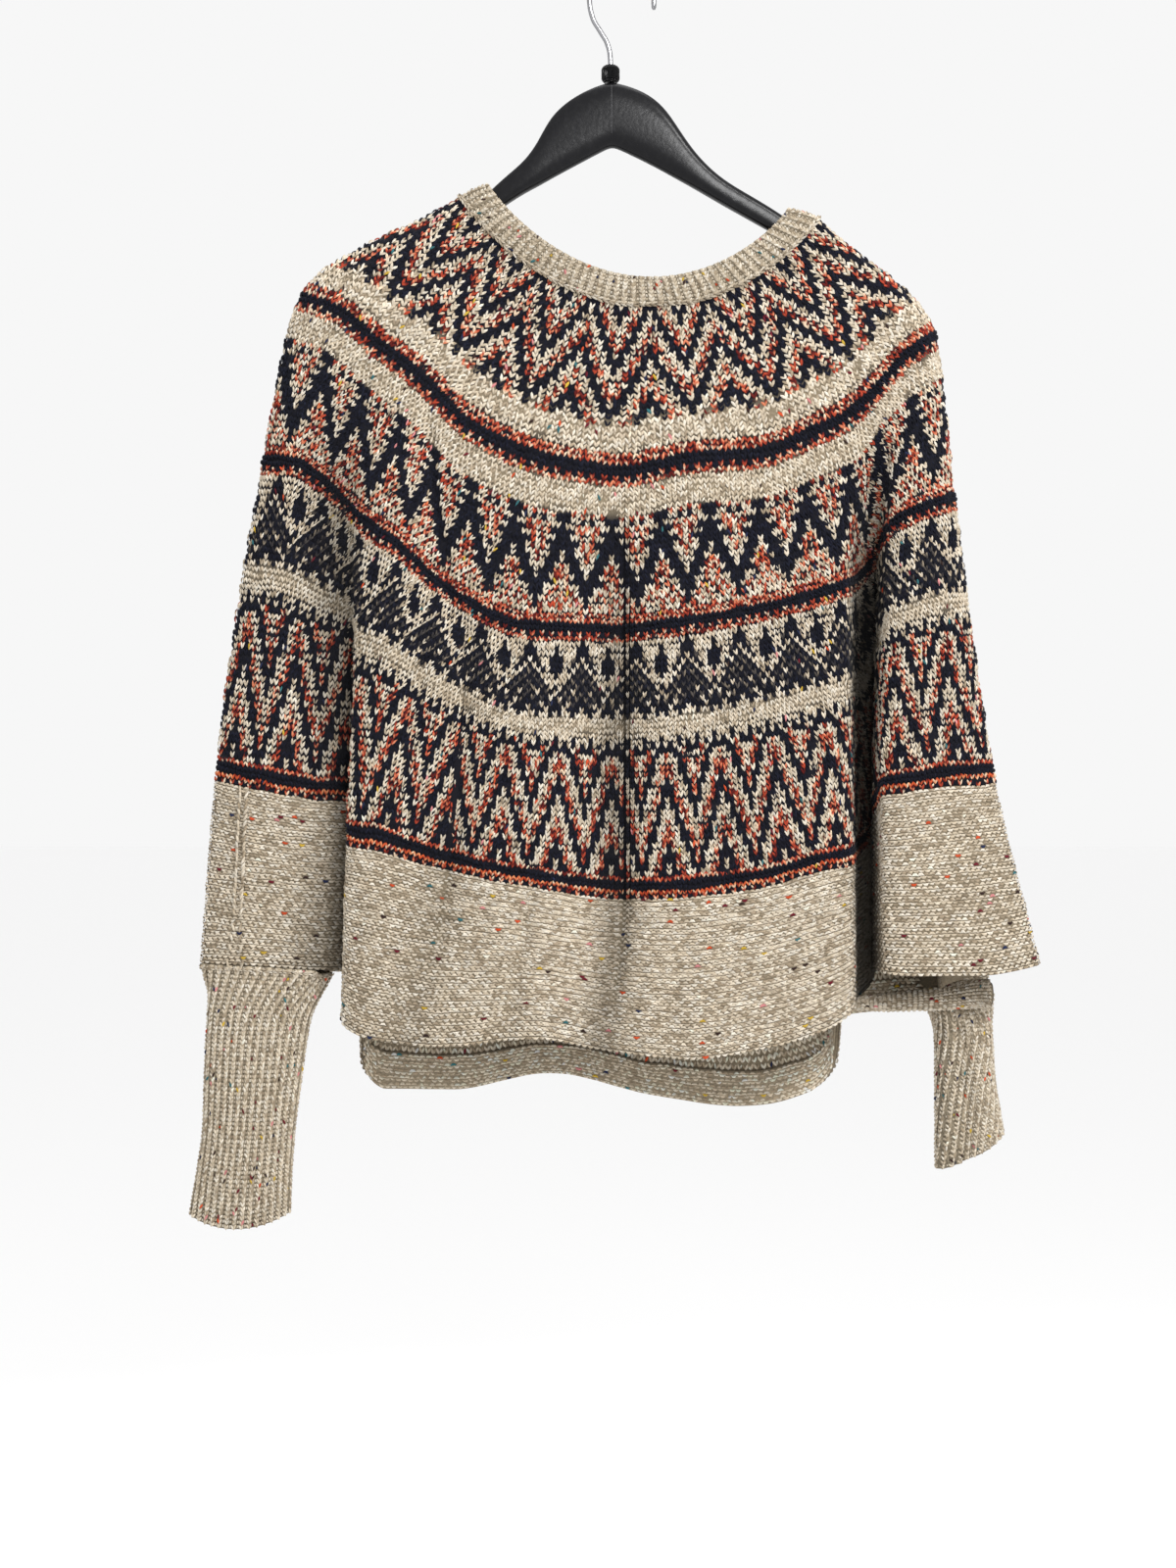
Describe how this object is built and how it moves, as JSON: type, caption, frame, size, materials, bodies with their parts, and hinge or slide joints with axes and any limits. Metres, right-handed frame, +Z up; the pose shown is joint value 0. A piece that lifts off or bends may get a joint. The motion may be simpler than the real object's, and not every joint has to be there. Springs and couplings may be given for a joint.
{
  "type": "knitted poncho on a coat hanger",
  "caption": "Circular knitted poncho with patterned yoke bands, a plain hem band and long ribbed cuffs, hanging on a shaped coat hanger with a wire hook.",
  "frame": {"origin": "inside top of the hanger's wire hook, where a peg or rail carries it", "axes": "+X to the right and +Z up as the front is looked at, +Y from the front of the garment towards its back"},
  "size_m": [0.623, 0.088, 0.9396],
  "materials": {
    "colourwork_knit": "wool blend knitted in navy, rust, charcoal and oatmeal",
    "oatmeal_knit": "oatmeal tweed yarn with small coloured flecks, knitted plain",
    "oatmeal_rib": "oatmeal tweed yarn with small coloured flecks, ribbed",
    "black_plastic": "black, satin with a fine grain",
    "hook_wire": "polished"
  },
  "bodies": {
    "root": {"front": "colourwork_knit", "back": "colourwork_knit", "front_hem_band": "oatmeal_knit", "back_hem_band": "oatmeal_knit", "back_hem_facing": "oatmeal_knit", "neckband": "oatmeal_rib", "left_cuff": "oatmeal_rib", "right_cuff": "oatmeal_rib", "hanger_body": "black_plastic", "hook_collar": "black_plastic", "hanger_hook": "hook_wire"}
  },
  "joints": []
}
